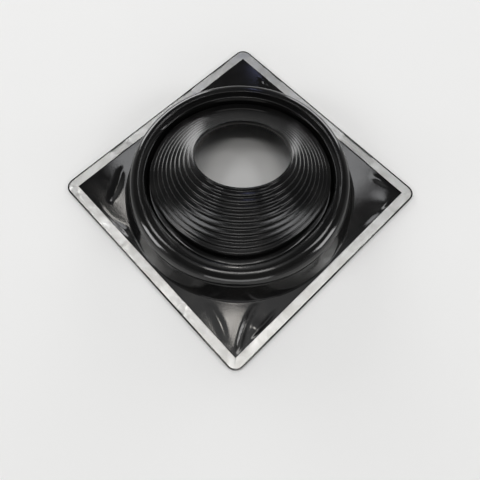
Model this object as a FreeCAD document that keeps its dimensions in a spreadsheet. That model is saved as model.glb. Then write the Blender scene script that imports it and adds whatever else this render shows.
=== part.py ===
"""Pipe flashing boot: a square moulded rubber boot with a soft aluminium edge frame.

The boot seals a round pipe or flue where it goes through a roof. It is two pieces:

* rubber_boot, one EPDM moulding: a square sheet with a raised lip and a bead that hold
  the edge frame, sealing ribs underneath, a bellows with a rolled rim and a trough, and a
  stepped cone that ends in a short collar. The installer cuts the cone at the step that
  suits the pipe, and the collar grips the pipe.
* aluminium_frame, one soft aluminium strip frame that lies in the channel between the
  lip and the bead. It is dressed down over the roof's profile by hand.

The frame: millimetres, +Z up out of the roof, the origin at the centre of the sealing
ribs' undersides. The boot is fitted as a diamond, with one corner up the slope, so that
it sheds water: +Y points at that corner, and the cone leans that way.
"""
import FreeCAD, Part
import math
import os
import Sketcher

# Driving dimensions: name, value, what it is. Millimetres, and degrees for the leans.
SIZES = [
    ("collar_bore_radius", 84.0, "inside of the collar, the smallest pipe that it grips"),
    ("collar_wall", 3.0, "rubber round the collar's bore"),
    ("collar_height", 6.0, "straight riser from the top tread to the lip"),
    ("lip_bevel", 0.6, "bevel on both edges of the collar's lip"),
    ("wall", 2.5, "rubber thickness of the cone and the bellows"),
    ("step_count", 10, "treads between the cone's root and the collar"),
    ("step_tread", 8.0, "width of one tread"),
    ("step_rise", 5.0, "height of one riser"),
    ("water_fall", 0.3, "how far each tread and bead falls outwards, to shed water"),
    ("root_lean", 7.9, "lean of the cone's lowest ring"),
    ("collar_lean", 17.1, "lean of the top tread and the collar"),
    ("root_shift", 11.0, "how far the lowest ring has moved up the slope"),
    ("skirt_rise", 26.0, "trough floor to the cone's lowest ring"),
    ("skirt_batter", 3.0, "how much narrower the skirt is at the trough floor"),
    ("trough_mouth", 8.5, "lowest ring to the rim's inner edge, on the radius"),
    ("trough_taper", 1.5, "how far the trough's outer wall draws in on its way down"),
    ("trough_depth", 26.0, "rim's inner edge to the trough floor"),
    ("rim_land", 10.5, "width of the band between the crest and the inner edge"),
    ("rim_fall", 6.0, "how far that band falls towards the trough"),
    ("rim_width", 18.7, "shoulder to crest, on the radius"),
    ("rim_rise", 16.0, "shoulder to crest, upwards"),
    ("shoulder_shift", 2.0, "how far the shoulder has moved up the slope"),
    ("shoulder_bead", 1.3, "how far the bead at the shoulder stands out"),
    ("shoulder_bead_height", 3.0, "height of that bead"),
    ("bellows_height", 46.0, "top of the sheet to the shoulder"),
    ("bellows_batter", 16.0, "how much wider the bellows wall is at its foot"),
    ("foot_bead", 1.8, "how far the bead at the foot stands out"),
    ("foot_bead_height", 3.5, "height of that bead above the sheet"),
    ("foot_margin", 1.1, "flat sheet between the foot and the channel's bead"),
    ("channel_bead", 1.2, "width of the bead along the frame's inner edge"),
    ("channel_bead_height", 0.8, "height of that bead above the sheet"),
    ("strip_width", 18.7, "width of the aluminium strip"),
    ("strip_thickness", 1.2, "thickness of the aluminium strip"),
    ("strip_edge_bevel", 0.4, "bevel on the strip's upper edges"),
    ("edge_lip", 1.5, "rubber lip outside the strip"),
    ("corner_radius", 19.0, "outer corner of the sheet"),
    ("sheet_thickness", 3.0, "rubber sheet under the strip"),
    ("rib_count", 3, "sealing ribs underneath, round the edge"),
    ("rib_height", 1.0, "height of a sealing rib"),
    ("rib_width", 1.6, "width of a sealing rib"),
    ("rib_inset", 4.0, "outer edge of the sheet to the first rib"),
    ("rib_pitch", 5.0, "one rib to the next"),
]
DIAMOND_TURN = 45        # degrees from a square with level sides to one that stands on a corner
RIM_SEGMENTS = 4         # straight bands that make up the rolled rim's quarter round
BELLOWS_STATIONS = 5     # crest, inner edge, trough wall, trough floor and cone root share the lean
CUT_OVERRUN = 5          # how far a cutting solid runs past the face that it opens


def size(alias):
    """Return the expression that reads one driving dimension."""
    return f"Sizes.{alias}"


# Radii, from the collar outwards, and heights, from the ribs upwards.
COLLAR_RADIUS = f"({size('collar_bore_radius')} + {size('collar_wall')})"
ROOT_RADIUS = f"({COLLAR_RADIUS} + {size('step_count')} * {size('step_tread')})"
EDGE_RADIUS = f"({ROOT_RADIUS} + {size('trough_mouth')})"
CREST_RADIUS = f"({EDGE_RADIUS} + {size('rim_land')})"
SHOULDER_RADIUS = f"({CREST_RADIUS} + {size('rim_width')})"
WALL_FOOT_RADIUS = f"({SHOULDER_RADIUS} + {size('bellows_batter')})"
FOOT_RADIUS = f"({WALL_FOOT_RADIUS} + {size('foot_bead')})"
CHANNEL_INNER = f"({FOOT_RADIUS} + {size('foot_margin')} + {size('channel_bead')})"
CHANNEL_OUTER = f"({CHANNEL_INNER} + {size('strip_width')})"
SHEET_HALF = f"({CHANNEL_OUTER} + {size('edge_lip')})"

SHEET_TOP = f"({size('rib_height')} + {size('sheet_thickness')})"
SHOULDER_HEIGHT = f"({SHEET_TOP} + {size('bellows_height')})"
CREST_HEIGHT = f"({SHOULDER_HEIGHT} + {size('rim_rise')})"
EDGE_HEIGHT = f"({CREST_HEIGHT} - {size('rim_fall')})"
TROUGH_HEIGHT = f"({EDGE_HEIGHT} - {size('trough_depth')})"
ROOT_HEIGHT = f"({TROUGH_HEIGHT} + {size('skirt_rise')})"
TOP_TREAD_CLIMB = f"(({size('step_count')} - 1) * {size('step_rise')})"


class Station:
    """A place on the boot's bent centre line: how far over, how high and how far it leans."""

    def __init__(self, over, height, lean):
        self.over = over
        self.height = height
        self.lean = lean

    def placement(self, along="0"):
        """Return the placement expression of a ring here, moved along its own axis."""
        over = f"{self.over} + ({along}) * sin({self.lean})"
        height = f"{self.height} + ({along}) * cos({self.lean})"
        return (f"placement(vector(0; {over}; {height});"
                f" rotation(vector(1; 0; 0); -({self.lean})))")


def shoulder_station(height):
    """A level ring at the shoulder, which has moved up the slope a little."""
    return Station(size("shoulder_shift"), height, "0 deg")


def bellows_station(height, share="0"):
    """A ring of the bellows, which has taken up a share of the cone root's lean and shift."""
    return Station(f"({share}) * {size('root_shift')}", height,
                   f"(({share}) * {size('root_lean')} * 1 deg)")


def cone_station(climb):
    """A ring of the cone, a climb above its root along a centre line that keeps bending."""
    root = f"{size('root_lean')} * 1 deg"
    share = f"({climb}) / {TOP_TREAD_CLIMB}"
    bend = f"({size('collar_lean')} - {size('root_lean')}) * {share} * 1 deg"
    chord = f"({root} + {bend} / 2)"
    return Station(f"({size('root_shift')} + ({climb}) * sin({chord}))",
                   f"({ROOT_HEIGHT} + ({climb}) * cos({chord}))",
                   f"({root} + {bend})")


def make_sizes(doc):
    """Keep the driving dimensions in a spreadsheet, one row each."""
    sheet = doc.addObject("Spreadsheet::Sheet", "Sizes")
    for row, (alias, value, meaning) in enumerate(SIZES, start=1):
        sheet.set(f"A{row}", alias)
        sheet.set(f"B{row}", str(value))
        sheet.set(f"C{row}", meaning)
        sheet.setAlias(f"B{row}", alias)
    doc.recompute()
    return sheet


def make_ring(doc, name, radius, placement):
    """Add one circle of a skin."""
    ring = doc.addObject("Part::Circle", name)
    ring.setExpression("Radius", radius)
    ring.setExpression("Placement", placement)
    return ring


def make_plug(doc, name, rings):
    """Add the solid inside a skin: straight bands from ring to ring, closed by flat ends."""
    circles = [make_ring(doc, f"{name}_ring_{number}", radius, station.placement(along))
               for number, (station, radius, along) in enumerate(rings)]
    plug = doc.addObject("Part::Loft", name)
    plug.Sections = circles
    plug.Solid = True
    plug.Ruled = True
    return plug


def trough_stations():
    """Return the stations that both skins use: inner edge, trough wall and trough floor."""
    heights = (EDGE_HEIGHT, TROUGH_HEIGHT, TROUGH_HEIGHT)
    return [bellows_station(height, f"{number} / {BELLOWS_STATIONS}")
            for number, height in enumerate(heights, start=2)]


def rim_round(width, rise, base_height):
    """Rings of the rolled rim, a quarter of an ellipse from the shoulder up to the crest."""
    rings = []
    for number in range(1, RIM_SEGMENTS + 1):
        share = f"{number} / {RIM_SEGMENTS}"
        angle = f"{share} * 90 deg"
        crest_shift = f"({size('root_shift')} / {BELLOWS_STATIONS})"
        over = f"({size('shoulder_shift')} + ({crest_shift} - {size('shoulder_shift')}) * {share})"
        station = Station(over, f"({base_height} + ({rise}) * sin({angle}))",
                          f"({share} / {BELLOWS_STATIONS} * {size('root_lean')} * 1 deg)")
        rings.append((station, f"{CREST_RADIUS} + ({width}) * cos({angle})", "0"))
    return rings


def outer_skin(step_count):
    """Rings of the weather side, from the foot of the bellows to the collar's lip."""
    bead_out = f"{SHOULDER_RADIUS} + {size('shoulder_bead')}"
    fall = size("water_fall")
    bead_foot = shoulder_station(f"({SHOULDER_HEIGHT} - {size('shoulder_bead_height')})")
    foot_top = bellows_station(f"({SHEET_TOP} + {size('foot_bead_height')})")
    shoulder = shoulder_station(SHOULDER_HEIGHT)
    edge, trough, floor = trough_stations()
    rings = [
        (bellows_station(size("rib_height")), FOOT_RADIUS, "0"),
        (foot_top, FOOT_RADIUS, f"-{fall}"),
        (foot_top, WALL_FOOT_RADIUS, "0"),
        (bead_foot, SHOULDER_RADIUS, "0"),
        (bead_foot, bead_out, fall),
        (shoulder, bead_out, f"-{fall}"),
        (shoulder, SHOULDER_RADIUS, "0"),
    ]
    rings += rim_round(size("rim_width"), size("rim_rise"), SHOULDER_HEIGHT)
    rings += [
        (edge, EDGE_RADIUS, "0"),
        (trough, f"{EDGE_RADIUS} - {size('trough_taper')}", f"-{fall}"),
        (floor, f"{ROOT_RADIUS} - {size('skirt_batter')}", "0"),
    ]
    for number in range(step_count):
        station = cone_station(f"{number} * {size('step_rise')}")
        radius = f"{ROOT_RADIUS} - {number} * {size('step_tread')}"
        rings += [(station, radius, f"-{fall}"), (station, f"{radius} - {size('step_tread')}", "0")]
    lip = cone_station(TOP_TREAD_CLIMB)
    rings += [
        (lip, COLLAR_RADIUS, f"{size('collar_height')} - {size('lip_bevel')}"),
        (lip, f"{COLLAR_RADIUS} - {size('lip_bevel')}", size("collar_height")),
    ]
    return rings


def inner_skin(step_count):
    """Rings of the hollow side, one wall inside the weather side, up to the collar's bore."""
    wall = size("wall")
    fall = size("water_fall")
    shoulder = f"({SHOULDER_HEIGHT} - {wall})"
    foot_top = f"({SHEET_TOP} + {size('foot_bead_height')})"
    edge, trough, floor = trough_stations()
    hole = f"{WALL_FOOT_RADIUS} - {wall}"
    rings = [
        (bellows_station(f"({size('rib_height')} - {CUT_OVERRUN})"), hole, "0"),
        (bellows_station(foot_top), hole, "0"),
        (shoulder_station(shoulder), f"{SHOULDER_RADIUS} - {wall}", "0"),
    ]
    rings += rim_round(f"{size('rim_width')} - {wall}", size("rim_rise"), shoulder)
    rings += [
        (edge, f"{EDGE_RADIUS} + {wall}", f"-{wall}"),
        (trough, f"{EDGE_RADIUS} - {size('trough_taper')} + {wall}", f"-{wall} - {fall}"),
        (floor, f"{ROOT_RADIUS} - {size('skirt_batter')} - {wall}", f"-{wall}"),
    ]
    for number in range(step_count):
        station = cone_station(f"{number} * {size('step_rise')}")
        outer = f"{ROOT_RADIUS} - {number} * {size('step_tread')} - {wall}"
        last = number == step_count - 1
        inner = size("collar_bore_radius") if last else f"{outer} - {size('step_tread')}"
        rings += [(station, outer, f"-{wall} - {fall}"), (station, inner, f"-{wall}")]
    lip = cone_station(TOP_TREAD_CLIMB)
    bore, bevel = size("collar_bore_radius"), size("lip_bevel")
    rings += [
        (lip, bore, f"{size('collar_height')} - {bevel}"),
        (lip, f"{bore} + {bevel} + {CUT_OVERRUN}", f"{size('collar_height')} + {CUT_OVERRUN}"),
    ]
    return rings


def origin_plane(body, role):
    """Find one of a body's own origin planes by its role."""
    return next(item for item in body.Origin.OriginFeatures if item.Role == role)


def make_sketch(body, name, height):
    """Add a level sketch to a body at a height that is an expression."""
    sketch = body.newObject("Sketcher::SketchObject", name)
    sketch.AttachmentSupport = (origin_plane(body, "XY_Plane"), [""])
    sketch.MapMode = "FlatFace"
    sketch.setExpression("AttachmentOffset.Base.z", height)
    return sketch


def name_size(sketch, constraint, name, expression):
    """Name a dimension constraint and bind it to an expression."""
    sketch.renameConstraint(constraint, name)
    sketch.setExpression(f"Constraints.{name}", expression)


def draw_square(sketch, name, half, start_half):
    """Draw a sharp square centred on the sketch's origin."""
    first = sketch.GeometryCount
    corners = [FreeCAD.Vector(x * start_half, y * start_half, 0)
               for x, y in ((-1, -1), (1, -1), (1, 1), (-1, 1))]
    for number in range(4):
        sketch.addGeometry(Part.LineSegment(corners[number], corners[(number + 1) % 4]), False)
    for number in range(4):
        line, following = first + number, first + (number + 1) % 4
        sketch.addConstraint(Sketcher.Constraint("Coincident", line, 2, following, 1))
        level = "Vertical" if number % 2 else "Horizontal"
        sketch.addConstraint(Sketcher.Constraint(level, line))
    sketch.addConstraint(Sketcher.Constraint("Symmetric", first, 1, first + 2, 1, -1, 1))
    for label, line in (("across", first), ("along", first + 1)):
        side = sketch.addConstraint(Sketcher.Constraint("Distance", line, 2 * start_half))
        name_size(sketch, side, f"{name}_{label}", f"2 * ({half})")


def draw_rounded_square(sketch, name, half, radius, start_half, start_radius):
    """Draw a square with rounded corners, centred on the sketch's origin."""
    first = sketch.GeometryCount
    flat = start_half - start_radius
    ends = [((-flat, -start_half), (flat, -start_half)), ((start_half, -flat), (start_half, flat)),
            ((flat, start_half), (-flat, start_half)), ((-start_half, flat), (-start_half, -flat))]
    for start, end in ends:
        line = Part.LineSegment(FreeCAD.Vector(*start, 0), FreeCAD.Vector(*end, 0))
        sketch.addGeometry(line, False)
    quarter = math.pi / 2
    centres = ((flat, -flat), (flat, flat), (-flat, flat), (-flat, -flat))
    for number, centre in enumerate(centres):
        circle = Part.Circle(FreeCAD.Vector(*centre, 0), FreeCAD.Vector(0, 0, 1), start_radius)
        start = (number - 1) * quarter
        sketch.addGeometry(Part.ArcOfCircle(circle, start, start + quarter), False)
    for number in range(4):
        line, arc = first + number, first + 4 + number
        following = first + (number + 1) % 4
        sketch.addConstraint(Sketcher.Constraint("Tangent", line, 2, arc, 1))
        sketch.addConstraint(Sketcher.Constraint("Tangent", arc, 2, following, 1))
    sketch.addConstraint(Sketcher.Constraint("Horizontal", first + 2))
    sketch.addConstraint(Sketcher.Constraint("Vertical", first + 3))
    for arc in range(first + 5, first + 8):
        sketch.addConstraint(Sketcher.Constraint("Equal", first + 4, arc))
    sketch.addConstraint(Sketcher.Constraint("Symmetric", first, 1, first, 2, -2))
    sketch.addConstraint(Sketcher.Constraint("Symmetric", first + 1, 1, first + 1, 2, -1))
    corner = sketch.addConstraint(Sketcher.Constraint("Radius", first + 4, start_radius))
    name_size(sketch, corner, f"{name}_corner", radius)
    across = Sketcher.Constraint("DistanceX", first + 3, 1, first + 1, 1, 2 * start_half)
    name_size(sketch, sketch.addConstraint(across), f"{name}_across", f"2 * ({half})")
    along = Sketcher.Constraint("DistanceY", first, 1, first + 2, 1, 2 * start_half)
    name_size(sketch, sketch.addConstraint(along), f"{name}_along", f"2 * ({half})")


def pad(body, name, sketch, length):
    """Pad a sketch upwards by a length that is an expression."""
    feature = body.newObject("PartDesign::Pad", name)
    feature.Profile = sketch
    feature.setExpression("Length", length)
    body.Document.recompute()
    return feature


def measure(sheet, expression):
    """Work an expression out now, as the starting size of a sketch."""
    return float(FreeCAD.Units.Quantity(sheet.evalExpression(expression)))


def make_flange(doc, sheet):
    """The square rubber sheet with its edge lip, channel bead and sealing ribs."""
    def now(expression):
        return measure(sheet, expression)
    body = doc.addObject("PartDesign::Body", "Flange")
    corner = size("corner_radius")

    outline = make_sketch(body, "SheetOutline", size("rib_height"))
    draw_rounded_square(outline, "sheet", SHEET_HALF, corner, now(SHEET_HALF), now(corner))
    pad(body, "Sheet", outline, size("sheet_thickness"))

    lip = make_sketch(body, "LipOutline", SHEET_TOP)
    inner_corner = f"{corner} - {size('edge_lip')}"
    draw_rounded_square(lip, "lip", SHEET_HALF, corner, now(SHEET_HALF), now(corner))
    draw_rounded_square(lip, "channel", CHANNEL_OUTER, inner_corner,
                        now(CHANNEL_OUTER), now(inner_corner))
    pad(body, "Lip", lip, size("strip_thickness"))

    bead = make_sketch(body, "BeadOutline", SHEET_TOP)
    bead_inner = f"{CHANNEL_INNER} - {size('channel_bead')}"
    draw_square(bead, "bead_outer", CHANNEL_INNER, now(CHANNEL_INNER))
    draw_square(bead, "bead_inner", bead_inner, now(bead_inner))
    pad(body, "Bead", bead, size("channel_bead_height"))

    ribs = make_sketch(body, "RibOutline", "0")
    rib_corner = f"{corner} - {size('rib_width')}"
    for number in range(int(now(size("rib_count")))):
        outer = f"{SHEET_HALF} - {size('rib_inset')} - {number} * {size('rib_pitch')}"
        inner = f"{outer} - {size('rib_width')}"
        draw_rounded_square(ribs, f"rib_{number}_outer", outer, corner, now(outer), now(corner))
        draw_rounded_square(ribs, f"rib_{number}_inner", inner, rib_corner,
                            now(inner), now(rib_corner))
    pad(body, "Ribs", ribs, size("rib_height"))
    body.Placement = diamond()
    return body


def diamond():
    """The turn that stands the square on one corner."""
    return FreeCAD.Placement(FreeCAD.Vector(), FreeCAD.Rotation(FreeCAD.Vector(0, 0, 1), DIAMOND_TURN))


def make_rubber_boot(doc, sheet):
    """The whole rubber moulding: flange and weather-side plug, hollowed by the inner plug."""
    step_count = int(sheet.step_count)
    solid = doc.addObject("Part::Fuse", "BootSolid")
    solid.Base = make_flange(doc, sheet)
    solid.Tool = make_plug(doc, "WeatherSide", outer_skin(step_count))
    boot = doc.addObject("Part::Cut", "RubberBoot")
    boot.Base = solid
    boot.Tool = make_plug(doc, "HollowSide", inner_skin(step_count))
    boot.Label = "rubber_boot"
    return boot


def make_aluminium_frame(doc, sheet):
    """The soft aluminium strip frame, face to face with the sheet, lip and bead."""
    body = doc.addObject("PartDesign::Body", "AluminiumFrame")
    body.Label = "aluminium_frame"
    outline = make_sketch(body, "StripOutline", SHEET_TOP)
    corner = f"{size('corner_radius')} - {size('edge_lip')}"
    draw_rounded_square(outline, "strip_outer", CHANNEL_OUTER, corner,
                        measure(sheet, CHANNEL_OUTER), measure(sheet, corner))
    draw_square(outline, "strip_inner", CHANNEL_INNER, measure(sheet, CHANNEL_INNER))
    strip = pad(body, "Strip", outline, size("strip_thickness"))

    faces = strip.Shape.Faces
    top = max(range(len(faces)), key=lambda number: faces[number].CenterOfMass.z)
    bevel = body.newObject("PartDesign::Chamfer", "StripEdges")
    bevel.Base = (strip, [f"Face{top + 1}"])
    bevel.setExpression("Size", size("strip_edge_bevel"))
    body.Placement = diamond()
    return body


def check(doc, parts):
    """Stop if a feature failed, or if a part has no valid solid."""
    for item in doc.Objects:
        if "Invalid" in item.State or "Error" in item.State:
            raise RuntimeError(f"{item.Name} failed: {item.State}")
    for part in parts:
        shape = part.Shape
        if shape.isNull() or not shape.isValid() or len(shape.Solids) != 1:
            raise RuntimeError(f"{part.Label} is not one valid solid")
        print(f"{part.Label}: {shape.Volume / 1000:.1f} cm3, {len(shape.Faces)} faces")


def main():
    os.makedirs("parts", exist_ok=True)
    doc = FreeCAD.newDocument("PipeFlashingBoot")
    sheet = make_sizes(doc)
    parts = [make_rubber_boot(doc, sheet), make_aluminium_frame(doc, sheet)]
    doc.recompute()
    check(doc, parts)
    for part in parts:
        part.Shape.exportStep(f"parts/{part.Label}.step")


main()
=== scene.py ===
"""Looks for the pipe flashing boot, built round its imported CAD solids.

The rubber boot and the soft aluminium edge frame are modelled again in full detail: moulded
edges with their small rounds, the creases that a flexible sheet keeps from its packing, and
the strip's embossed ribs and hand-bent facets. Everything is in metres in the CAD frame:
+Z up out of the roof, +Y towards the corner that points up the slope.
"""
import logging
import math
from dataclasses import dataclass, field, replace
from enum import Enum

import bpy
import numpy as np
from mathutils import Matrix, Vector


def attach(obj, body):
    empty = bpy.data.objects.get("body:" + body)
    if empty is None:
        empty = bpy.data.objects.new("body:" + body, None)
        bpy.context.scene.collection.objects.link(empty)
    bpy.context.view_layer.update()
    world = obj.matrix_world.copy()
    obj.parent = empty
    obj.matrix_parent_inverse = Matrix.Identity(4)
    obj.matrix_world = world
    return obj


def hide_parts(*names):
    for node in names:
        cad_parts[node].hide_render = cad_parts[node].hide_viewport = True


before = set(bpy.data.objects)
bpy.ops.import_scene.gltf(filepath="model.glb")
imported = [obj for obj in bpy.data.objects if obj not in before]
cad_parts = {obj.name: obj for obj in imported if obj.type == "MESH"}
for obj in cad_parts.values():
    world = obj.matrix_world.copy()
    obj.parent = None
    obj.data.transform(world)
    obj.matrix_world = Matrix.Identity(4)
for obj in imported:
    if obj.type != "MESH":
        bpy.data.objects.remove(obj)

LOG = logging.getLogger("flashing_boot")
MM = 0.001
QUARTER = math.pi / 2
BELLOWS_STATIONS = 5     # crest, inner edge, trough wall, trough floor and cone root share the lean
CREST_PINCH = 0.35       # share of the rim's pinch that reaches its crest
MITRE_OVERLAP = 1.0      # how far past the mitre a side's bends are felt, in millimetres
NEAR_GAIN = 0.9          # how fast the pinch goes from none at the far side to full at the near
RISER_PINCH = 0.9        # pinch at a step's riser, as a share of that at its tread
PINCHED_STEPS = 4        # steps of the cone over which the pinch dies out
TAPER_POWER = 0.6        # below 1, a crease keeps more of its height towards its ends
ROUND_LIMIT = 0.45       # largest share of the way to the next loop that a round takes up
TINY = 1e-9              # least length that is divided by
CRISP_ANGLE = 50         # degrees between two faces from which their edge stays crisp
Colour = tuple[float, float, float]


class Zone(Enum):
    """Where on the rubber a loop of the skin lies, kept as a vertex value for the material."""

    HOLLOW = 0.0
    SHEET = 0.3
    BELLOWS = 0.6
    CONE = 1.0


class Side(Enum):
    """The frame's sides, by the bearing in degrees that each one faces."""

    FAR_RIGHT = 45.0
    FAR_LEFT = 135.0
    NEAR_LEFT = 225.0
    NEAR_RIGHT = 315.0


@dataclass(frozen=True)
class Station:
    """A place on the boot's bent centre line, in millimetres and degrees.

    Attributes:
        over: Distance up the slope from the sheet's centre.
        height: Height above the sealing ribs' undersides.
        lean: Lean up the slope.
        aside: Distance to the right, which a soft bellows takes up when it is handled.
    """

    over: float
    height: float
    lean: float = 0.0
    aside: float = 0.0


@dataclass(frozen=True)
class Loop:
    """One closed loop of a skin, before the loops are joined into a mesh.

    Attributes:
        points: Positions in millimetres, one row for each bearing.
        zone: The part of the rubber that the loop belongs to.
        rounding: How far from the corner its round starts, in millimetres.
        facets: Number of loops that the round becomes.
    """

    points: np.ndarray
    zone: Zone
    rounding: float = 0.0
    facets: int = 1


@dataclass(frozen=True)
class Bearings:
    """The directions round the boot at which every loop has its points.

    Attributes:
        per_octant: Points from the middle of a side to a corner.
        gather: Share by which they close up towards the corners.
    """

    per_octant: int = 32
    gather: float = 0.6

    def angles(self) -> np.ndarray:
        """Work out the bearings of one full turn.

        Returns:
            Angles in radians, rising from the middle of the side on the lower right.
        """
        share = np.arange(self.per_octant) / self.per_octant
        eased = (1 - self.gather) * share + self.gather * np.sin(QUARTER * share)
        rising = eased * QUARTER / 2
        quarter = np.concatenate([rising, QUARTER - np.append(1.0, eased[:0:-1]) * QUARTER / 2])
        quarter[self.per_octant] = QUARTER / 2
        return np.concatenate([quarter + turn * QUARTER for turn in range(4)]) - QUARTER / 2


@dataclass(frozen=True)
class Crease:
    """A soft fold that the sheet keeps, a ridge with a bell-shaped section.

    Attributes:
        start: Where it starts, in millimetres from the sheet's centre.
        end: Where it ends.
        bow: How far its middle bows to the left of the way from start to end.
        width: Half its width, in millimetres.
        height: Its height, in millimetres, below zero for a hollow.
    """

    start: tuple[float, float]
    end: tuple[float, float]
    bow: float
    width: float
    height: float

    def lift(self, points: np.ndarray) -> np.ndarray:
        """Work out how far the crease lifts points of the sheet, all in millimetres."""
        start, run = np.array(self.start), np.array(self.end) - np.array(self.start)
        length = float(np.hypot(*run))
        way = run / length
        along = (points[:, :2] - start) @ way / length
        across = (points[:, :2] - start) @ np.array([-way[1], way[0]])
        across = across - self.bow * (1 - (2 * along - 1) ** 2)
        taper = np.sin(math.pi * np.clip(along, 0, 1)) ** TAPER_POWER
        return self.height * taper * np.exp(-0.5 * (across / self.width) ** 2)


@dataclass(frozen=True)
class Swell:
    """A low soft rise or hollow of the sheet.

    Attributes:
        place: Its middle, in millimetres from the sheet's centre.
        reach: How far it spreads, in millimetres.
        height: Its height, in millimetres, below zero for a hollow.
    """

    place: tuple[float, float]
    reach: float
    height: float

    def lift(self, points: np.ndarray) -> np.ndarray:
        """Work out how far the swell lifts points of the sheet, all in millimetres."""
        away = points[:, :2] - np.array(self.place)
        return self.height * np.exp(-0.5 * np.sum(away ** 2, axis=1) / self.reach ** 2)


@dataclass(frozen=True)
class Bend:
    """A stretch of the strip that a hand has rolled a little way over.

    Attributes:
        side: The side of the frame that it lies in.
        start: Where it starts, in millimetres along the side from its middle.
        end: Where it ends.
        roll: Slope across the strip, above zero where the strip faces outwards.
        skew: How far the bend's ends slant across the strip, in millimetres.
    """

    side: Side
    start: float
    end: float
    roll: float
    skew: float = 0.0

    def lift(self, points: np.ndarray, middle: float, slant: float, ramp: float) -> np.ndarray:
        """Work out how far the bend lifts points of the strip.

        Args:
            points: Positions in millimetres.
            middle: Distance of the strip's middle line from the frame's centre.
            slant: Distance over which a skewed bend's ends slant, about half the strip.
            ramp: Length over which the bend starts and ends.

        Returns:
            The lift of each point, in millimetres.
        """
        bearing = math.radians(self.side.value)
        out = np.array([math.cos(bearing), math.sin(bearing)])
        reach = points[:, :2] @ out
        along = points[:, :2] @ np.array([-out[1], out[0]])
        across = reach - middle
        own = reach > np.abs(along) - MITRE_OVERLAP
        along = along - self.skew * across / slant
        hold = np.clip((along - self.start) / ramp, 0, 1) * np.clip((self.end - along) / ramp, 0, 1)
        return -self.roll * across * hold * own


@dataclass
class BootSizes:
    """The boot's driving dimensions, in millimetres and degrees.

    They are those of its CAD source, except that the rubber lip laps over the outer 1.5 mm of
    the strip, so that the lip is wider and the strip shows less.
    """

    collar_bore_radius: float = 84.0
    collar_wall: float = 3.0
    collar_height: float = 6.0
    wall: float = 2.5
    step_count: int = 10
    step_tread: float = 8.0
    step_rise: float = 5.0
    root_lean: float = 7.9
    collar_lean: float = 17.1
    root_shift: float = 11.0
    water_fall: float = 0.3
    skirt_rise: float = 26.0
    skirt_batter: float = 3.0
    trough_mouth: float = 8.5
    trough_taper: float = 1.5
    trough_depth: float = 26.0
    rim_land: float = 10.5
    rim_fall: float = 6.0
    rim_width: float = 18.7
    rim_rise: float = 16.0
    shoulder_shift: float = 2.0
    shoulder_bead: float = 1.3
    shoulder_bead_height: float = 3.0
    bellows_height: float = 46.0
    bellows_batter: float = 16.0
    foot_bead: float = 1.8
    foot_bead_height: float = 3.5
    foot_margin: float = 1.1
    channel_bead: float = 1.2
    channel_bead_height: float = 0.8
    strip_width: float = 17.2
    strip_thickness: float = 1.2
    edge_lip: float = 3.0
    corner_radius: float = 19.0
    sheet_thickness: float = 3.0
    rib_count: int = 3
    rib_height: float = 1.0
    rib_width: float = 1.6
    rib_inset: float = 4.0
    rib_pitch: float = 5.0

    def __post_init__(self) -> None:
        """Work out the radii and half sides outwards, and the heights from the sheet up."""
        self.collar_radius = self.collar_bore_radius + self.collar_wall
        self.root_radius = self.collar_radius + self.step_count * self.step_tread
        self.edge_radius = self.root_radius + self.trough_mouth
        self.crest_radius = self.edge_radius + self.rim_land
        self.shoulder_radius = self.crest_radius + self.rim_width
        self.wall_foot_radius = self.shoulder_radius + self.bellows_batter
        self.foot_radius = self.wall_foot_radius + self.foot_bead
        self.channel_inner = self.foot_radius + self.foot_margin + self.channel_bead
        self.channel_outer = self.channel_inner + self.strip_width
        self.sheet_half = self.channel_outer + self.edge_lip
        self.sheet_top = self.rib_height + self.sheet_thickness
        self.shoulder_height = self.sheet_top + self.bellows_height
        self.crest_height = self.shoulder_height + self.rim_rise
        self.edge_height = self.crest_height - self.rim_fall
        self.trough_height = self.edge_height - self.trough_depth
        self.root_height = self.trough_height + self.skirt_rise


def square_loop(half: float, corner: float, height: float, bearings: np.ndarray) -> np.ndarray:
    """Lay a rounded square, stood on one corner, under the given bearings.

    Args:
        half: Half the side, in millimetres.
        corner: Radius of the corners, in millimetres.
        height: Height of the loop, in millimetres.
        bearings: Directions from the centre, in radians.

    Returns:
        One position for each bearing, in millimetres.
    """
    turned = bearings - QUARTER / 2
    folded = np.abs((turned + QUARTER / 2) % QUARTER - QUARTER / 2)
    reach = half / np.cos(folded)
    flat = half - corner
    if corner > 0:
        ray = np.stack([np.cos(folded), np.sin(folded)], axis=1)
        middle = ray @ np.array([flat, flat])
        root = np.maximum(middle ** 2 - 2 * flat ** 2 + corner ** 2, 0)
        reach = np.where(half * np.tan(folded) > flat, middle + np.sqrt(root), reach)
    return np.stack([reach * np.cos(bearings), reach * np.sin(bearings),
                     np.full(len(bearings), height)], axis=1)


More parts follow.
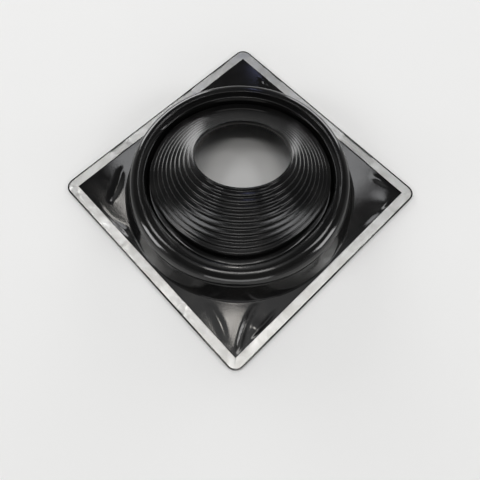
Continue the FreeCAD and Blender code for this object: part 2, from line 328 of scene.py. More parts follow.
def loft(loops: list[Loop], name: str) -> bpy.types.Object:
    """Join loops into one closed skin that ends where it starts, with its corners rounded.

    Args:
        loops: The loops in order round the section.
        name: Name of the new object.

    Returns:
        A mesh object in metres with outward faces and a value "zone" for each vertex.
    """
    rows, zones = [], []
    total = len(loops)
    for number, loop in enumerate(loops):
        here = loop.points
        before, after = loops[number - 1].points, loops[(number + 1) % total].points
        if not loop.rounding:
            rows.append(here)
            zones.append(loop.zone.value)
            continue
        ends = []
        for there in (before, after):
            run = there - here
            length = np.linalg.norm(run, axis=1, keepdims=True)
            reach = np.minimum(loop.rounding, ROUND_LIMIT * length)
            ends.append(here + run * reach / np.maximum(length, TINY))
        for share in np.linspace(0, 1, loop.facets + 1):
            rows.append((1 - share) ** 2 * ends[0] + 2 * share * (1 - share) * here
                        + share ** 2 * ends[1])
            zones.append(loop.zone.value)
    points = np.array(rows) * MM
    high, wide = points.shape[:2]
    index = np.arange(high * wide).reshape(high, wide)
    right, down = np.roll(index, -1, axis=1), np.roll(index, -1, axis=0)
    corner = np.roll(down, -1, axis=1)
    quads = np.stack([index, down, corner, right], axis=-1).reshape(-1, 4)
    flat = points.reshape(-1, 3)
    a, b, c, d = (flat[quads[:, side]] for side in range(4))
    if float(np.sum(a * np.cross(b, c)) + np.sum(a * np.cross(c, d))) < 0:
        quads = quads[:, ::-1]
    mesh = bpy.data.meshes.new(name)
    mesh.from_pydata(flat.tolist(), [], quads.tolist())
    mesh.shade_smooth()
    attribute = mesh.attributes.new("zone", "FLOAT", "POINT")
    attribute.data.foreach_set("value", np.repeat(np.array(zones, np.float32), wide))
    mesh.set_sharp_from_angle(angle=math.radians(CRISP_ANGLE))
    return add_piece(name, mesh)


def add_piece(name: str, mesh: bpy.types.Mesh) -> bpy.types.Object:
    """Put a mesh into the scene as an object of its own."""
    piece = bpy.data.objects.new(name, mesh)
    bpy.context.scene.collection.objects.link(piece)
    return piece


@dataclass
class RubberBoot:
    """The EPDM moulding: sheet, bellows, trough, stepped cone and collar.

    Attributes:
        sizes: The driving dimensions.
        bearings: Where each loop has its points.
        root_aside: How far the soft bellows has let the cone's root move to the right.
        collar_aside: The same for the collar.
        pinch: How far the rim's inner edge is drawn in over the middle of each side.
        rim_facets: Number of loops in the rolled rim's quarter round.
        line_width: Width of the fine beads on the rim.
        line_height: Their height.
        line_flank: Width of each bead's sloping flank.
        land_levels: Heights of the rim's land, beside the crest's bead, beside the edge's bead,
            and under that bead's outer and inner sides.
        nose: How far from each tread's edge its round starts.
        sheet_loops: Number of loops across the sheet's free surface.
        rim_hold: Distance from the channel's bead over which the creases fade out.
        foot_hold: The same from the bellows' foot.
        folds: The creases and swells that the sheet keeps.
    """

    sizes: BootSizes
    bearings: np.ndarray
    root_aside: float = 1.0
    collar_aside: float = 4.4
    pinch: float = 5.0
    rim_facets: int = 12
    line_width: float = 2.0
    line_height: float = 0.7
    line_flank: float = 0.4
    land_levels: tuple[float, float, float, float] = (-0.5, 0.7, 0.9, 0.3)
    nose: float = 2.1
    sheet_loops: int = 30
    rim_hold: float = 9.0
    foot_hold: float = 7.0
    folds: list[Crease | Swell] = field(default_factory=list)

    def ring(self, station: Station, radius: float, along: float = 0.0,
             pinch: float = 0.0) -> np.ndarray:
        """Lay a ring round the centre line.

        Args:
            station: Place on the centre line.
            radius: Radius of the ring.
            along: How far the ring is moved along its own axis.
            pinch: How far it is drawn in over the middle of each near side.

        Returns:
            One position for each bearing, in millimetres.
        """
        lean = math.radians(station.lean)
        turn = self.bearings
        if pinch:
            near = np.clip(0.5 - NEAR_GAIN * np.sin(turn), 0, 1)
            radius = radius - pinch * near * (1 - np.cos(4 * turn)) / 2
        level = radius * np.sin(turn)
        return np.stack([
            station.aside + radius * np.cos(turn),
            station.over + level * math.cos(lean) + along * math.sin(lean),
            station.height - level * math.sin(lean) + along * math.cos(lean)], axis=1)

    def rings(self, zone: Zone, rows: list[tuple]) -> list[Loop]:
        """Lay rings from rows of station, radius, way along the axis, pinch, rounding, facets."""
        return [Loop(self.ring(station, radius, along, pinch), zone, rounding, facets)
                for station, radius, along, pinch, rounding, facets in rows]

    def squares(self, zone: Zone, rows: list[tuple]) -> list[Loop]:
        """Lay rounded squares from rows of half side, corner, height, rounding, facets."""
        return [Loop(square_loop(half, corner, height, self.bearings), zone, rounding, facets)
                for half, corner, height, rounding, facets in rows]

    def bellows_station(self, height: float, number: float) -> Station:
        """Find the bellows' centre, which takes up the cone root's lean station by station."""
        share = number / BELLOWS_STATIONS
        return Station(share * self.sizes.root_shift, height, share * self.sizes.root_lean,
                       share * self.root_aside)

    def trough_stations(self) -> list[Station]:
        """Find the centres of the rim's inner edge, the trough's wall and the trough's floor."""
        sizes = self.sizes
        heights = (sizes.edge_height, sizes.trough_height, sizes.trough_height)
        return [self.bellows_station(height, number)
                for number, height in enumerate(heights, start=2)]

    def cone_station(self, climb: float) -> Station:
        """Find the cone's centre, a climb above its root along a line that keeps bending."""
        sizes = self.sizes
        share = climb / ((sizes.step_count - 1) * sizes.step_rise)
        bend = (sizes.collar_lean - sizes.root_lean) * share
        chord = math.radians(sizes.root_lean + bend / 2)
        return Station(sizes.root_shift + climb * math.sin(chord),
                       sizes.root_height + climb * math.cos(chord),
                       sizes.root_lean + bend,
                       self.root_aside + (self.collar_aside - self.root_aside) * share)

    def rim(self, width: float, base_height: float) -> list[Loop]:
        """Make the rolled rim's quarter round from the shoulder up to the crest.

        Args:
            width: Distance from the shoulder to the crest, on the radius.
            base_height: Height at which the round starts.

        Returns:
            Its loops, the shoulder's own left out.
        """
        sizes = self.sizes
        loops = []
        for number in range(1, self.rim_facets + 1):
            share = number / self.rim_facets
            angle = share * QUARTER
            level = self.bellows_station(base_height + sizes.rim_rise * math.sin(angle), share)
            over = level.over + sizes.shoulder_shift * (1 - share)
            radius = sizes.crest_radius + width * math.cos(angle)
            loops.append(Loop(self.ring(replace(level, over=over), radius, 0,
                                        self.pinch * CREST_PINCH * share), Zone.BELLOWS))
        return loops

    def rim_lines(self) -> list[Loop]:
        """Lay the loops of the mould's two fine beads, from the crest in to the edge."""
        sizes = self.sizes
        crest, edge = self.bellows_station(sizes.crest_height, 1), self.trough_stations()[0]
        outer, inner, bead = sizes.crest_radius, sizes.edge_radius, self.line_width
        flank, high, slack = self.line_flank, self.line_height, self.pinch * CREST_PINCH
        by_crest, by_edge, outside, inside = self.land_levels
        return self.rings(Zone.BELLOWS, [
            (crest, outer, high, slack, 0.8, 4),
            (crest, outer - bead, high, slack, 0.8, 4),
            (crest, outer - bead - flank, by_crest, slack, 0.4, 2),
            (edge, inner + bead + flank, by_edge, self.pinch, 0.4, 2),
            (edge, inner + bead, outside + high, self.pinch, 0.8, 4),
            (edge, inner, inside + high, self.pinch, 0.9, 4),
        ])

    def weather_side(self) -> list[Loop]:
        """Lay the weather side's loops from the foot of the bellows up to the collar's lip."""
        sizes = self.sizes
        foot_top = Station(0, sizes.sheet_top + sizes.foot_bead_height)
        bead_foot = Station(sizes.shoulder_shift,
                            sizes.shoulder_height - sizes.shoulder_bead_height)
        shoulder = Station(sizes.shoulder_shift, sizes.shoulder_height)
        bead_out = sizes.shoulder_radius + sizes.shoulder_bead
        fall, pinch = sizes.water_fall, self.pinch
        _, trough, floor = self.trough_stations()
        loops = self.rings(Zone.BELLOWS, [
            (Station(0, sizes.sheet_top), sizes.foot_radius, 0, 0, 0.8, 3),
            (foot_top, sizes.foot_radius, -fall, 0, 1.4, 4),
            (foot_top, sizes.wall_foot_radius, 0, 0, 0.9, 3),
            (bead_foot, sizes.shoulder_radius, 0, 0, 0.8, 3),
            (bead_foot, bead_out, fall, 0, 1.2, 4),
            (shoulder, bead_out, -fall, 0, 1.2, 4),
            (shoulder, sizes.shoulder_radius, 0, 0, 0.8, 3),
        ])
        loops += self.rim(sizes.rim_width, sizes.shoulder_height)
        loops += self.rim_lines()
        loops += self.rings(Zone.BELLOWS, [
            (trough, sizes.edge_radius - sizes.trough_taper, -fall, pinch, 4.5, 6)])
        rows = [(floor, sizes.root_radius - sizes.skirt_batter, 0, pinch, 3.0, 5)]
        for number in range(sizes.step_count):
            step, radius, pinch = self.step(number)
            rows += [(step, radius, -fall, pinch, self.nose, 7),
                     (step, radius - sizes.step_tread, 0, pinch * RISER_PINCH, 1.0, 3)]
        top, _, _ = self.step(sizes.step_count - 1)
        rows += [(top, radius, sizes.collar_height, 0, 1.0, 4)
                 for radius in (sizes.collar_radius, sizes.collar_bore_radius)]
        return loops + self.rings(Zone.CONE, rows)

    def step(self, number: int) -> tuple[Station, float, float]:
        """Find one of the cone's steps.

        Args:
            number: The step, counted from the root.

        Returns:
            Its place, the outside radius of its tread, and how far it is pinched.
        """
        sizes = self.sizes
        return (self.cone_station(number * sizes.step_rise),
                sizes.root_radius - number * sizes.step_tread,
                self.pinch * max(1 - number / PINCHED_STEPS, 0))

    def hollow_side(self) -> list[Loop]:
        """Lay the hollow side's loops from the collar's bore down to the sheet's underside."""
        sizes, wall, fall = self.sizes, self.sizes.wall, self.sizes.water_fall
        last = sizes.step_count - 1
        rows = []
        for number in reversed(range(sizes.step_count)):
            station, radius, pinch = self.step(number)
            inner = sizes.collar_bore_radius if number == last else radius - wall - sizes.step_tread
            rows += [(station, inner, -wall, pinch * RISER_PINCH, 0.8, 2),
                     (station, radius - wall, -wall - fall, pinch, 0.8, 2)]
        edge, trough, floor = self.trough_stations()
        taper = sizes.edge_radius - sizes.trough_taper
        rim = self.rim(sizes.rim_width - wall, sizes.shoulder_height - wall)
        shoulder = Station(sizes.shoulder_shift, sizes.shoulder_height - wall)
        foot_top = Station(0, sizes.sheet_top + sizes.foot_bead_height)
        foot = Station(0, sizes.rib_height)
        rows += [
            (floor, sizes.root_radius - sizes.skirt_batter - wall, -wall, self.pinch, 2.0, 3),
            (trough, taper + wall, -wall - fall, self.pinch, 2.0, 3),
            (edge, sizes.edge_radius + wall, -wall, self.pinch, 2.0, 3),
        ]
        return [
            *self.rings(Zone.HOLLOW, rows),
            *[Loop(loop.points, Zone.HOLLOW) for loop in reversed(rim[::2])],
            *self.rings(Zone.HOLLOW, [
                (shoulder, sizes.shoulder_radius - wall, 0, 0, 2.0, 3),
                (foot_top, sizes.wall_foot_radius - wall, 0, 0, 0, 1),
                (foot, sizes.wall_foot_radius - wall, 0, 0, 0.8, 2),
            ]),
        ]

    def underside(self) -> list[Loop]:
        """Lay the loops of the underside and its sealing ribs, from the hollow to the edge."""
        sizes, corner, base = self.sizes, self.sizes.corner_radius, self.sizes.rib_height
        rows = []
        for number in reversed(range(sizes.rib_count)):
            outer = sizes.sheet_half - sizes.rib_inset - number * sizes.rib_pitch
            inner, inner_corner = outer - sizes.rib_width, corner - sizes.rib_width
            rows += [(inner, inner_corner, base, 0.3, 2), (inner, inner_corner, 0, 0.5, 2),
                     (outer, corner, 0, 0.5, 2), (outer, corner, base, 0.3, 2)]
        edge = self.squares(Zone.SHEET, [(sizes.sheet_half, corner, base, 0.8, 3)])
        return self.squares(Zone.HOLLOW, rows) + edge

    def sheet(self) -> list[Loop]:
        """Lay the loops of the sheet's upper face from its edge in to the bellows."""
        sizes = self.sizes
        lip_top = sizes.sheet_top + sizes.strip_thickness
        inner_corner = sizes.corner_radius - sizes.edge_lip
        bead_top = sizes.sheet_top + sizes.channel_bead_height
        bead_inner = sizes.channel_inner - sizes.channel_bead
        loops = self.squares(Zone.SHEET, [
            (sizes.sheet_half, sizes.corner_radius, lip_top, 0.6, 3),
            (sizes.channel_outer, inner_corner, lip_top, 0.5, 3),
            (sizes.channel_outer, inner_corner, sizes.sheet_top, 0.2, 2),
            (sizes.channel_inner, 0, sizes.sheet_top, 0.2, 2),
            (sizes.channel_inner, 0, bead_top, 0.4, 3),
            (bead_inner, 0, bead_top, 0.4, 3),
        ])
        rim = square_loop(bead_inner, 0, sizes.sheet_top, self.bearings)
        foot = self.ring(Station(0, sizes.sheet_top), sizes.foot_radius)
        for number in range(self.sheet_loops):
            share = number / self.sheet_loops
            points = rim * (1 - share) + foot * share
            loops.append(Loop(self.crumple(points, rim, foot), Zone.SHEET))
        return loops

    def crumple(self, points: np.ndarray, rim: np.ndarray, foot: np.ndarray) -> np.ndarray:
        """Lift the sheet's free surface along its creases, and leave its edges where they are.

        Args:
            points: The loop's points.
            rim: Points of the sheet's free surface at the channel's bead.
            foot: Points of the sheet's free surface at the bellows' foot.

        Returns:
            The points at their new heights.
        """
        from_rim = np.linalg.norm(points - rim, axis=1)
        from_foot = np.linalg.norm(points - foot, axis=1)
        held = np.clip(from_rim / self.rim_hold, 0, 1) * np.clip(from_foot / self.foot_hold, 0, 1)
        held = held * held * (3 - 2 * held)
        lifted = points.copy()
        for fold in self.folds:
            lifted[:, 2] += fold.lift(points) * held
        return lifted

    def build(self) -> bpy.types.Object:
        """Build the whole moulding as one closed skin."""
        loops = [*self.weather_side(), *self.hollow_side(), *self.underside(), *self.sheet()]
        return loft(loops, "rubber_boot_skin")


def feed(tree: bpy.types.NodeTree, target: bpy.types.NodeSocket, source: object) -> None:
    """Link a socket to a node's input, or set the input to a value."""
    if isinstance(source, bpy.types.NodeSocket):
        tree.links.new(source, target)
    else:
        target.default_value = source


def add_node(tree: bpy.types.NodeTree, kind: str, **inputs: object) -> bpy.types.Node:
    """Add a node to a tree, with its inputs linked or set.

    Args:
        tree: The node tree.
        kind: The node's type.
        inputs: A socket or a value for each named input, with underscores for spaces.

    Returns:
        The new node.
    """
    node = tree.nodes.new(kind)
    for name, source in inputs.items():
        feed(tree, node.inputs[name.replace("_", " ")], source)
    return node


def add_math(tree: bpy.types.NodeTree, operation: str, first: object,
             second: object) -> bpy.types.NodeSocket:
    """Work out one number in a tree from two sockets or numbers."""
    node = tree.nodes.new("ShaderNodeMath")
    node.operation = operation
    for target, source in zip(node.inputs, (first, second)):
        feed(tree, target, source)
    return node.outputs[0]


def add_vector(tree: bpy.types.NodeTree, *parts: object) -> bpy.types.NodeSocket:
    """Join three sockets or numbers into a vector."""
    return add_node(tree, "ShaderNodeCombineXYZ", **dict(zip("XYZ", parts))).outputs[0]


def add_mix(tree: bpy.types.NodeTree, factor: bpy.types.NodeSocket, first: object,
            second: object) -> bpy.types.NodeSocket:
    """Mix two colours, which are sockets or values, by a factor."""
    node = tree.nodes.new("ShaderNodeMix")
    node.data_type = "RGBA"
    for name, source in (("Factor", factor), ("A", first), ("B", second)):
        feed(tree, node.inputs[name], source)
    return node.outputs["Result"]


def add_range(tree: bpy.types.NodeTree, share: bpy.types.NodeSocket, low: float,
              high: float) -> bpy.types.NodeSocket:
    """Turn a share from 0 to 1 into a value from low to high."""
    return add_node(tree, "ShaderNodeMapRange", Value=share, To_Min=low,
                    To_Max=high).outputs["Result"]


@dataclass
class CrossRibs:
    """The strip's embossed cross ribs, laid out by a Geometry Nodes tree.

    Attributes:
        pitch: Distance between ribs, in millimetres.
        width: Width of one rib.
        height: How far a rib stands up.
        length: Length of one rib.
        clear: Plain length that the strip keeps at each end of a side.
        facets: Number of faces round one rib.
        crisp_angle: Degrees between two faces from which their edge stays crisp.
    """

    pitch: float = 2.4
    width: float = 1.8
    height: float = 0.12
    length: float = 15.6
    clear: float = 6.0
    facets: int = 10
    crisp_angle: float = 60.0

    def tree(self) -> bpy.types.NodeTree:
        """Build the tree: one rib, a row of them, and that row on each of the four sides."""
        tree = bpy.data.node_groups.new("cross_ribs", "GeometryNodeTree")
        kinds = {"Count": "NodeSocketInt", "Facets": "NodeSocketInt", "Metal": "NodeSocketMaterial"}
        for name in ("Count", "Facets", "Pitch", "Width", "Height", "Length", "Reach", "Level",
                     "Metal"):
            tree.interface.new_socket(name, in_out="INPUT",
                                      socket_type=kinds.get(name, "NodeSocketFloat"))
        tree.interface.new_socket("Ribs", in_out="OUTPUT", socket_type="NodeSocketGeometry")
        given = tree.nodes.new("NodeGroupInput").outputs
        bar = add_node(tree, "GeometryNodeMeshCylinder", Vertices=given["Facets"], Radius=1,
                       Depth=1)
        lying = add_node(tree, "GeometryNodeTransform", Geometry=bar.outputs["Mesh"],
                         Rotation=(0, QUARTER, 0))
        half_width = add_math(tree, "MULTIPLY", given["Width"], 0.5)
        rib = add_node(tree, "GeometryNodeTransform", Geometry=lying.outputs["Geometry"],
                       Scale=add_vector(tree, given["Length"], half_width, given["Height"]))
        gaps = add_math(tree, "SUBTRACT", given["Count"], 1)
        back = add_math(tree, "MULTIPLY", add_math(tree, "MULTIPLY", gaps, given["Pitch"]), -0.5)
        places = add_node(tree, "GeometryNodeMeshLine", Count=given["Count"],
                          Start_Location=add_vector(tree, given["Reach"], back, given["Level"]),
                          Offset=add_vector(tree, 0, given["Pitch"], 0))
        row = add_node(tree, "GeometryNodeInstanceOnPoints", Points=places.outputs["Mesh"],
                       Instance=rib.outputs["Geometry"])
        sides = add_node(tree, "GeometryNodeMeshLine", Count=len(Side), Offset=(0, 0, 0))
        number = tree.nodes.new("GeometryNodeInputIndex").outputs["Index"]
        turn = add_math(tree, "ADD", add_math(tree, "MULTIPLY", number, QUARTER), QUARTER / 2)
        square = add_node(tree, "GeometryNodeInstanceOnPoints", Points=sides.outputs["Mesh"],
                          Instance=row.outputs["Instances"],
                          Rotation=add_vector(tree, 0, 0, turn))
        real = add_node(tree, "GeometryNodeRealizeInstances",
                        Geometry=square.outputs["Instances"])
        dressed = add_node(tree, "GeometryNodeSetMaterial", Geometry=real.outputs["Geometry"],
                           Material=given["Metal"])
        add_node(tree, "NodeGroupOutput", Ribs=dressed.outputs["Geometry"])
        return tree

    def build(self, sizes: BootSizes, metal: bpy.types.Material) -> bpy.types.Mesh:
        """Lay out the ribs on a flat strip.

        Args:
            sizes: The boot's driving dimensions.
            metal: The strip's finish.

        Returns:
            A plain mesh in metres.
        """
        count = int(2 * (sizes.channel_inner - self.clear) / self.pitch) + 1
        values = {
            "Count": count, "Facets": self.facets, "Pitch": self.pitch * MM,
            "Width": self.width * MM, "Height": self.height * MM, "Length": self.length * MM,
            "Reach": (sizes.channel_inner + sizes.channel_outer) / 2 * MM,
            "Level": (sizes.sheet_top + sizes.strip_thickness) * MM, "Metal": metal,
        }
        holder = add_piece("rib_holder", bpy.data.meshes.new("rib_holder"))
        modifier = holder.modifiers.new("cross_ribs", "NODES")
        modifier.node_group = self.tree()
        for item in modifier.node_group.interface.items_tree:
            if item.in_out == "INPUT":
                modifier[item.identifier] = values[item.name]
        shape = holder.evaluated_get(bpy.context.evaluated_depsgraph_get())
        mesh = bpy.data.meshes.new_from_object(shape)
        bpy.data.objects.remove(holder)
        LOG.info("cross ribs: %d on each side", count)
        return mesh


@dataclass
class AluminiumFrame:
    """The soft aluminium strip frame, with the bends that hands have left in it.

    Attributes:
        sizes: The driving dimensions.
        ribs: The embossed cross ribs.
        bends: The stretches that are rolled over.
        bearings: Where each loop has its points.
        ramp: Length over which a bend starts and ends, in millimetres.
        slant: Distance from the strip's middle over which a skewed bend's ends slant.
        loops_across: Number of loops over the strip's width.
    """

    sizes: BootSizes
    ribs: CrossRibs
    bends: list[Bend]
    bearings: np.ndarray = field(default_factory=Bearings(260, 0.2).angles)
    ramp: float = 4.5
    slant: float = 9.0
    loops_across: int = 9

    def top_lift(self, points: np.ndarray) -> np.ndarray:
        """Work out how far the strip's upper face is bent up or down, in millimetres."""
        middle = (self.sizes.channel_inner + self.sizes.channel_outer) / 2
        return sum(bend.lift(points, middle, self.slant, self.ramp) for bend in self.bends)

    def strip(self) -> bpy.types.Object:
        """Build the strip itself."""
        sizes = self.sizes
        corner = sizes.corner_radius - sizes.edge_lip
        low, high = sizes.sheet_top, sizes.sheet_top + sizes.strip_thickness
        loops = [Loop(square_loop(sizes.channel_inner, 0, low, self.bearings), Zone.SHEET)]
        for number in range(self.loops_across):
            share = number / (self.loops_across - 1)
            half = sizes.channel_inner + sizes.strip_width * share
            points = square_loop(half, corner * share, high, self.bearings)
            points[:, 2] += self.top_lift(points)
            edge = share in (0, 1)
            loops.append(Loop(points, Zone.SHEET, 0.5 if edge else 0, 4 if edge else 1))
        loops.append(Loop(square_loop(sizes.channel_outer, corner, low, self.bearings),
                          Zone.SHEET))
        return loft(loops, "aluminium_strip")

    def rib_piece(self, metal: bpy.types.Material) -> bpy.types.Object:
        """Build the ribs in the strip's finish, bent as the strip is."""
        mesh = self.ribs.build(self.sizes, metal)
        flat = np.empty(len(mesh.vertices) * 3, np.float32)
        mesh.vertices.foreach_get("co", flat)
        points = flat.reshape(-1, 3) / MM
        points[:, 2] += self.top_lift(points)
        mesh.vertices.foreach_set("co", (points * MM).astype(np.float32).ravel())
        mesh.shade_smooth()
        mesh.update()
        mesh.set_sharp_from_angle(angle=math.radians(self.ribs.crisp_angle))
        return add_piece("aluminium_ribs", mesh)


def noise_group(name: str, output: str, detail: float) -> bpy.types.NodeTree:
    """Build a shader group that spreads noise between two levels.

    Args:
        name: The group's name.
        output: Name of its output.
        detail: How many finer layers the noise has.

    Returns:
        The shader group, which the rubber and the aluminium share.
    """
    tree = bpy.data.node_groups.new(name, "ShaderNodeTree")
    face = tree.interface
    face.new_socket("Vector", in_out="INPUT", socket_type="NodeSocketVector")
    for socket in ("Scale", "Distortion", "From", "To"):
        face.new_socket(socket, in_out="INPUT", socket_type="NodeSocketFloat")
    face.new_socket(output, in_out="OUTPUT", socket_type="NodeSocketFloat")
    given = tree.nodes.new("NodeGroupInput").outputs
    noise = add_node(tree, "ShaderNodeTexNoise", Vector=given["Vector"],
                     Scale=given["Scale"], Distortion=given["Distortion"], Detail=detail)
    level = add_node(tree, "ShaderNodeMapRange", Value=noise.outputs["Fac"],
                     From_Min=given["From"], From_Max=given["To"])
    add_node(tree, "NodeGroupOutput", **{output: level.outputs["Result"]})
    return tree


@dataclass(frozen=True)
class Pattern:
    """How a material sets one of the shared groups.

    Attributes:
        scale: Scale of the noise.
        distortion: How far the noise is pulled about.
        low: Noise level at which the pattern starts.
        high: Noise level at which the pattern is full.
    """

    scale: float
    distortion: float
    low: float
    high: float

    def place(self, tree: bpy.types.NodeTree, group: bpy.types.NodeTree) -> bpy.types.NodeSocket:
        """Place the group in a material's tree, on Object coordinates.

        Args:
            tree: The material's node tree.
            group: The shared group.

        Returns:
            The group's output.
        """
        place = tree.nodes.new("ShaderNodeTexCoord")
        node = tree.nodes.new("ShaderNodeGroup")
        node.node_tree = group
        for name, source in (("Vector", place.outputs["Object"]), ("Scale", self.scale),
                             ("Distortion", self.distortion), ("From", self.low),
                             ("To", self.high)):
            feed(tree, node.inputs[name], source)
        return node.outputs[0]


@dataclass(frozen=True)
class Finish:
    """A finish: two colours with marks between them, and a fine grain.

    Attributes:
        name: The material's name.
        colour: Colour where nothing has touched it.
        marked: Colour where it is marked.
        gloss: Roughness where nothing has touched it.
        worn: Roughness where it is marked.
        marks: Pattern of the marks.
        grain: Pattern of the grain.
        grain_depth: Depth of the grain in metres.
        grain_strength: How strongly the grain shows.
        metallic: 1 for a metal.
        matt_share: Roughness that the cone has on top, and the bellows in part.
    """

    name: str
    colour: Colour
    marked: Colour
    gloss: float
    worn: float
    marks: Pattern
    grain: Pattern
    grain_depth: float
    grain_strength: float
    metallic: float = 0.0
    matt_share: float = 0.0

    def material(self, mark_group: bpy.types.NodeTree,
                 grain_group: bpy.types.NodeTree) -> bpy.types.Material:
        """Make the material.

        Args:
            mark_group: The shared group for marks.
            grain_group: The shared group for grain.

        Returns:
            A node material that reads Object coordinates and, for a matt share, the zone.
        """
        made = bpy.data.materials.new(self.name)
        made.use_nodes = True
        tree = made.node_tree
        shader = tree.nodes["Principled BSDF"].inputs
        marks = self.marks.place(tree, mark_group)
        rough = add_range(tree, marks, self.gloss, self.worn)
        if self.matt_share:
            zone = tree.nodes.new("ShaderNodeAttribute")
            zone.attribute_name = "zone"
            matt = add_range(tree, zone.outputs["Fac"], 0, self.matt_share)
            rough = add_math(tree, "ADD", rough, matt)
        raised = add_node(tree, "ShaderNodeBump", Height=self.grain.place(tree, grain_group),
                          Distance=self.grain_depth, Strength=self.grain_strength)
        colour = add_mix(tree, marks, (*self.colour, 1), (*self.marked, 1))
        feed(tree, shader["Base Color"], colour)
        feed(tree, shader["Metallic"], self.metallic)
        feed(tree, shader["Roughness"], rough)
        feed(tree, shader["Normal"], raised.outputs["Normal"])
        return made


@dataclass(frozen=True)
class Softbox:
    """One soft studio lamp that faces the boot.

    Attributes:
        name: What it is called.
        bearing: Direction from the boot, in degrees round from the right.
        height: Degrees above the floor.
        distance: Distance in metres.
        width: Width in metres.
        depth: Depth in metres.
        glow: Brightness of its face, as a share of white.
        colour: Tint of the light.
    """

    name: str
    bearing: float
    height: float
    distance: float
    width: float
    depth: float
    glow: float
    colour: Colour = (1.0, 1.0, 1.0)

    def build(self) -> None:
        """Hang the lamp."""
        lamp = bpy.data.lights.new(self.name, "AREA")
        lamp.shape = "RECTANGLE"
        lamp.size, lamp.size_y = self.width, self.depth
        lamp.energy = self.glow * math.pi * self.width * self.depth
        lamp.color = self.colour
        held = bpy.data.objects.new(self.name, lamp)
        bearing, height = math.radians(self.bearing), math.radians(self.height)
        held.location = self.distance * Vector((
            math.cos(height) * math.cos(bearing), math.cos(height) * math.sin(bearing),
            math.sin(height)))
        held.rotation_euler = (-held.location).to_track_quat("-Z", "Y").to_euler()
        bpy.context.scene.collection.objects.link(held)


@dataclass
class Studio:
    """A pale floor, soft lamps and the camera.

    Attributes:
        lamps: The softboxes.
        camera_place: Where the camera stands, in metres.
        camera_turn: How it is turned, in degrees.
        lens: Focal length in millimetres.
        sensor: Width of the sensor in millimetres.
        floor_side: Side of the floor, in metres.
        floor_colour: Colour of the floor.
        backdrop: Plain colour that the camera sees in the distance.
        fade: Distances from the boot over which the floor turns into the backdrop.
        room_glow: How bright the room is, by the sine of the height above the floor.
    """

    lamps: list[Softbox]
    camera_place: tuple[float, float, float] = (0.0082, -0.3417, 0.7237)
    camera_turn: tuple[float, float, float] = (18.27, 0.0, 1.28)
    lens: float = 30.16
    sensor: float = 36.0
    floor_side: float = 60.0
    floor_colour: Colour = (0.90, 0.90, 0.895)
    backdrop: Colour = (0.84, 0.84, 0.836)
    fade: tuple[float, float] = (1.0, 2.2)
    room_glow: tuple[tuple[float, float], ...] = (
        (0.0, 0.5), (0.5, 0.12), (0.62, 0.06), (0.9, 0.09), (1.0, 1.0))

    def build(self) -> None:
        """Set the stage."""
        scene = bpy.context.scene
        scene.view_settings.view_transform = "Standard"
        self.floor()
        self.room()
        for lamp in self.lamps:
            lamp.build()
        camera = bpy.data.cameras.new("Camera")
        camera.lens, camera.sensor_width = self.lens, self.sensor
        held = bpy.data.objects.new("Camera", camera)
        held.location = self.camera_place
        held.rotation_euler = [math.radians(turn) for turn in self.camera_turn]
        scene.collection.objects.link(held)
        scene.camera = held

    def floor(self) -> None:
        """Lay the floor, which isn't part of the boot and fades out far away."""
        half = self.floor_side / 2
        mesh = bpy.data.meshes.new("floor")
        mesh.from_pydata([(-half, -half, 0), (half, -half, 0), (half, half, 0),
                          (-half, half, 0)], [], [(0, 1, 2, 3)])
        floor = add_piece("floor", mesh)
        made = bpy.data.materials.new("pale_floor")
        made.use_nodes = True
        tree = made.node_tree
        tree.nodes.clear()
        place = tree.nodes.new("ShaderNodeTexCoord")
        away = tree.nodes.new("ShaderNodeVectorMath")
        away.operation = "LENGTH"
        feed(tree, away.inputs[0], place.outputs["Object"])
        far = add_node(tree, "ShaderNodeMapRange", Value=away.outputs["Value"],
                       From_Min=self.fade[0], From_Max=self.fade[1])
        seen = tree.nodes.new("ShaderNodeLightPath").outputs["Is Camera Ray"]
        near = add_node(tree, "ShaderNodeBsdfDiffuse", Color=(*self.floor_colour, 1))
        plain = add_node(tree, "ShaderNodeEmission", Color=(*self.backdrop, 1))
        mix = add_node(tree, "ShaderNodeMixShader",
                       Fac=add_math(tree, "MULTIPLY", far.outputs["Result"], seen))
        feed(tree, mix.inputs[1], near.outputs["BSDF"])
        feed(tree, mix.inputs[2], plain.outputs["Emission"])
        add_node(tree, "ShaderNodeOutputMaterial", Surface=mix.outputs["Shader"])
        mesh.materials.append(made)

    def room(self) -> None:
        """Give the room grey walls and a pale ceiling, and a plain look to the camera."""
        world = bpy.data.worlds.new("studio_room")
        bpy.context.scene.world = world
        world.use_nodes = True
        tree = world.node_tree
        place = tree.nodes.new("ShaderNodeTexCoord")
        height = add_node(tree, "ShaderNodeSeparateXYZ", Vector=place.outputs["Generated"])
        shade = add_node(tree, "ShaderNodeValToRGB", Fac=height.outputs["Z"])
        stops = shade.color_ramp.elements
        stops.remove(stops[1])
        for number, (spot, glow) in enumerate(self.room_glow):
            stop = stops.new(spot) if number else stops[0]
            stop.color = (glow, glow, glow, 1)
        seen = tree.nodes.new("ShaderNodeLightPath").outputs["Is Camera Ray"]
        colour = add_mix(tree, seen, shade.outputs["Color"], (*self.backdrop, 1))
        feed(tree, tree.nodes["Background"].inputs["Color"], colour)


BLACK_EPDM = Finish(
    "black_epdm", (0.0045, 0.0045, 0.0048), (0.009, 0.0088, 0.0084), gloss=0.04, worn=0.13,
    marks=Pattern(13, 0.6, 0.35, 0.72), grain=Pattern(420, 0, 0.3, 0.7),
    grain_depth=0.00005, grain_strength=0.35, matt_share=0.05)

SOFT_ALUMINIUM = Finish(
    "soft_aluminium", (0.64, 0.64, 0.63), (0.53, 0.525, 0.51), gloss=0.33, worn=0.42,
    marks=Pattern(45, 0.8, 0.35, 0.7), grain=Pattern(900, 0, 0.3, 0.7),
    grain_depth=0.00002, grain_strength=0.15, metallic=1.0)

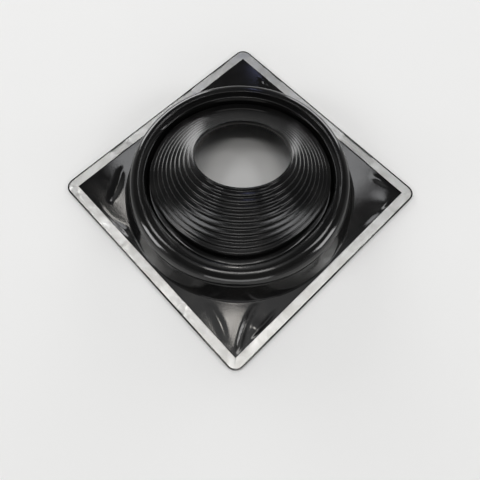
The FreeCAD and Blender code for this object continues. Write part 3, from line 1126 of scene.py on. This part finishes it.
FOLDS = [
    Crease((36, -222), (3, -318), -6, 3.0, 2.0),
    Crease((66, -236), (26, -286), 3, 3.0, 1.7),
    Swell((34, -266), 9, 1.4),
    Crease((-52, -226), (-18, -292), 5, 4.5, 0.8),
    Crease((-238, 44), (-252, -30), 5, 4.0, 2.0),
    Crease((-272, -44), (-206, -94), -9, 4.2, 2.0),
    Swell((288, -20), 15, 1.2),
    Crease((262, 34), (300, 8), 3, 5.0, 1.2),
    Swell((256, -50), 14, -0.8),
    Crease((-66, 244), (-54, 268), 1, 3.5, 1.6),
    Crease((44, 268), (50, 248), 1, 3.5, 1.6),
]

BENDS = [Bend(side, *stretch) for side, stretches in {
    Side.NEAR_LEFT: [
        (-236, -211, 0.13, 3), (-211, -176, -0.05), (-176, -164, 0.13), (-164, -130, -0.04),
        (-126, -64, 0.13, -4), (-60, 40, -0.06, 5), (62, 86, -0.07), (87, 106, 0.15, 3),
        (110, 236, -0.09)],
    Side.NEAR_RIGHT: [
        (-236, -190, -0.09), (-186, -124, 0.12, -3), (-124, -40, -0.05), (20, 140, -0.03),
        (178, 234, 0.13, 3)],
    Side.FAR_RIGHT: [
        (-140, -60, 0.13, 4), (120, 142, 0.13, 4), (146, 160, 0.12, -4), (166, 180, 0.12, 4)],
    Side.FAR_LEFT: [(-196, -150, 0.11, 3), (-90, -60, 0.12, -3), (90, 130, 0.13, 4)],
}.items() for stretch in stretches]

LAMPS = [
    Softbox("overhead", 270, 78, 4.8, 2.4, 0.5, 6.5, (1.0, 0.98, 0.95)),
    Softbox("top_small", 116.6, 86.5, 4.71, 0.36, 0.34, 13.0, (1.0, 0.96, 0.9)),
    Softbox("side_small", 130.9, 61.9, 5.34, 0.24, 0.5, 9.0, (1.0, 0.97, 0.92)),
    Softbox("left_high", 162, 63, 5.2, 1.0, 0.9, 7.0),
    Softbox("right_high", 18, 63, 5.2, 1.0, 0.9, 6.0),
    Softbox("back_left", 116, 57, 5.2, 1.2, 0.7, 4.0, (0.97, 0.98, 1.0)),
    Softbox("back_right", 64, 57, 5.2, 1.2, 0.7, 4.0, (0.97, 0.98, 1.0)),
    Softbox("low_back_left", 120, 15, 5.2, 3.2, 1.6, 6.0),
    Softbox("low_back_right", 60, 15, 5.2, 2.6, 1.6, 5.0),
    Softbox("left_panel", 195, 25, 5.2, 1.6, 1.8, 7.5),
    Softbox("right_panel", -15, 25, 5.2, 1.6, 1.8, 7.5),
    Softbox("front_low", 270, 14, 5.6, 5.2, 1.6, 2.8),
    Softbox("blue_slit", 87.5, 40, 5.2, 0.12, 1.3, 2.5, (0.5, 0.55, 1.0)),
]


def dress(piece: bpy.types.Object, material: bpy.types.Material, node: str) -> None:
    """Hand a finished piece to the frame.

    Args:
        piece: The finished mesh object.
        material: Its finish.
        node: The CAD node that it stands for.
    """
    piece.data.materials.clear()
    piece.data.materials.append(material)
    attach(piece, "root")
    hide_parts(node)
    LOG.info("%s: %d faces", piece.name, len(piece.data.polygons))


def main() -> None:
    """Build the boot, its frame and the studio."""
    logging.basicConfig(level=logging.INFO, format="%(message)s")
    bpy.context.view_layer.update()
    sizes = BootSizes()
    groups = (noise_group("handling_marks", "Mask", detail=5),
              noise_group("fine_grain", "Height", detail=3))
    rubber, metal = BLACK_EPDM.material(*groups), SOFT_ALUMINIUM.material(*groups)
    boot = RubberBoot(sizes, Bearings().angles(), folds=FOLDS)
    dress(boot.build(), rubber, "rubber_boot")
    edging = AluminiumFrame(sizes, CrossRibs(), BENDS)
    dress(edging.strip(), metal, "aluminium_frame")
    dress(edging.rib_piece(metal), metal, "aluminium_frame")
    Studio(LAMPS).build()


if __name__ == "__main__":
    main()
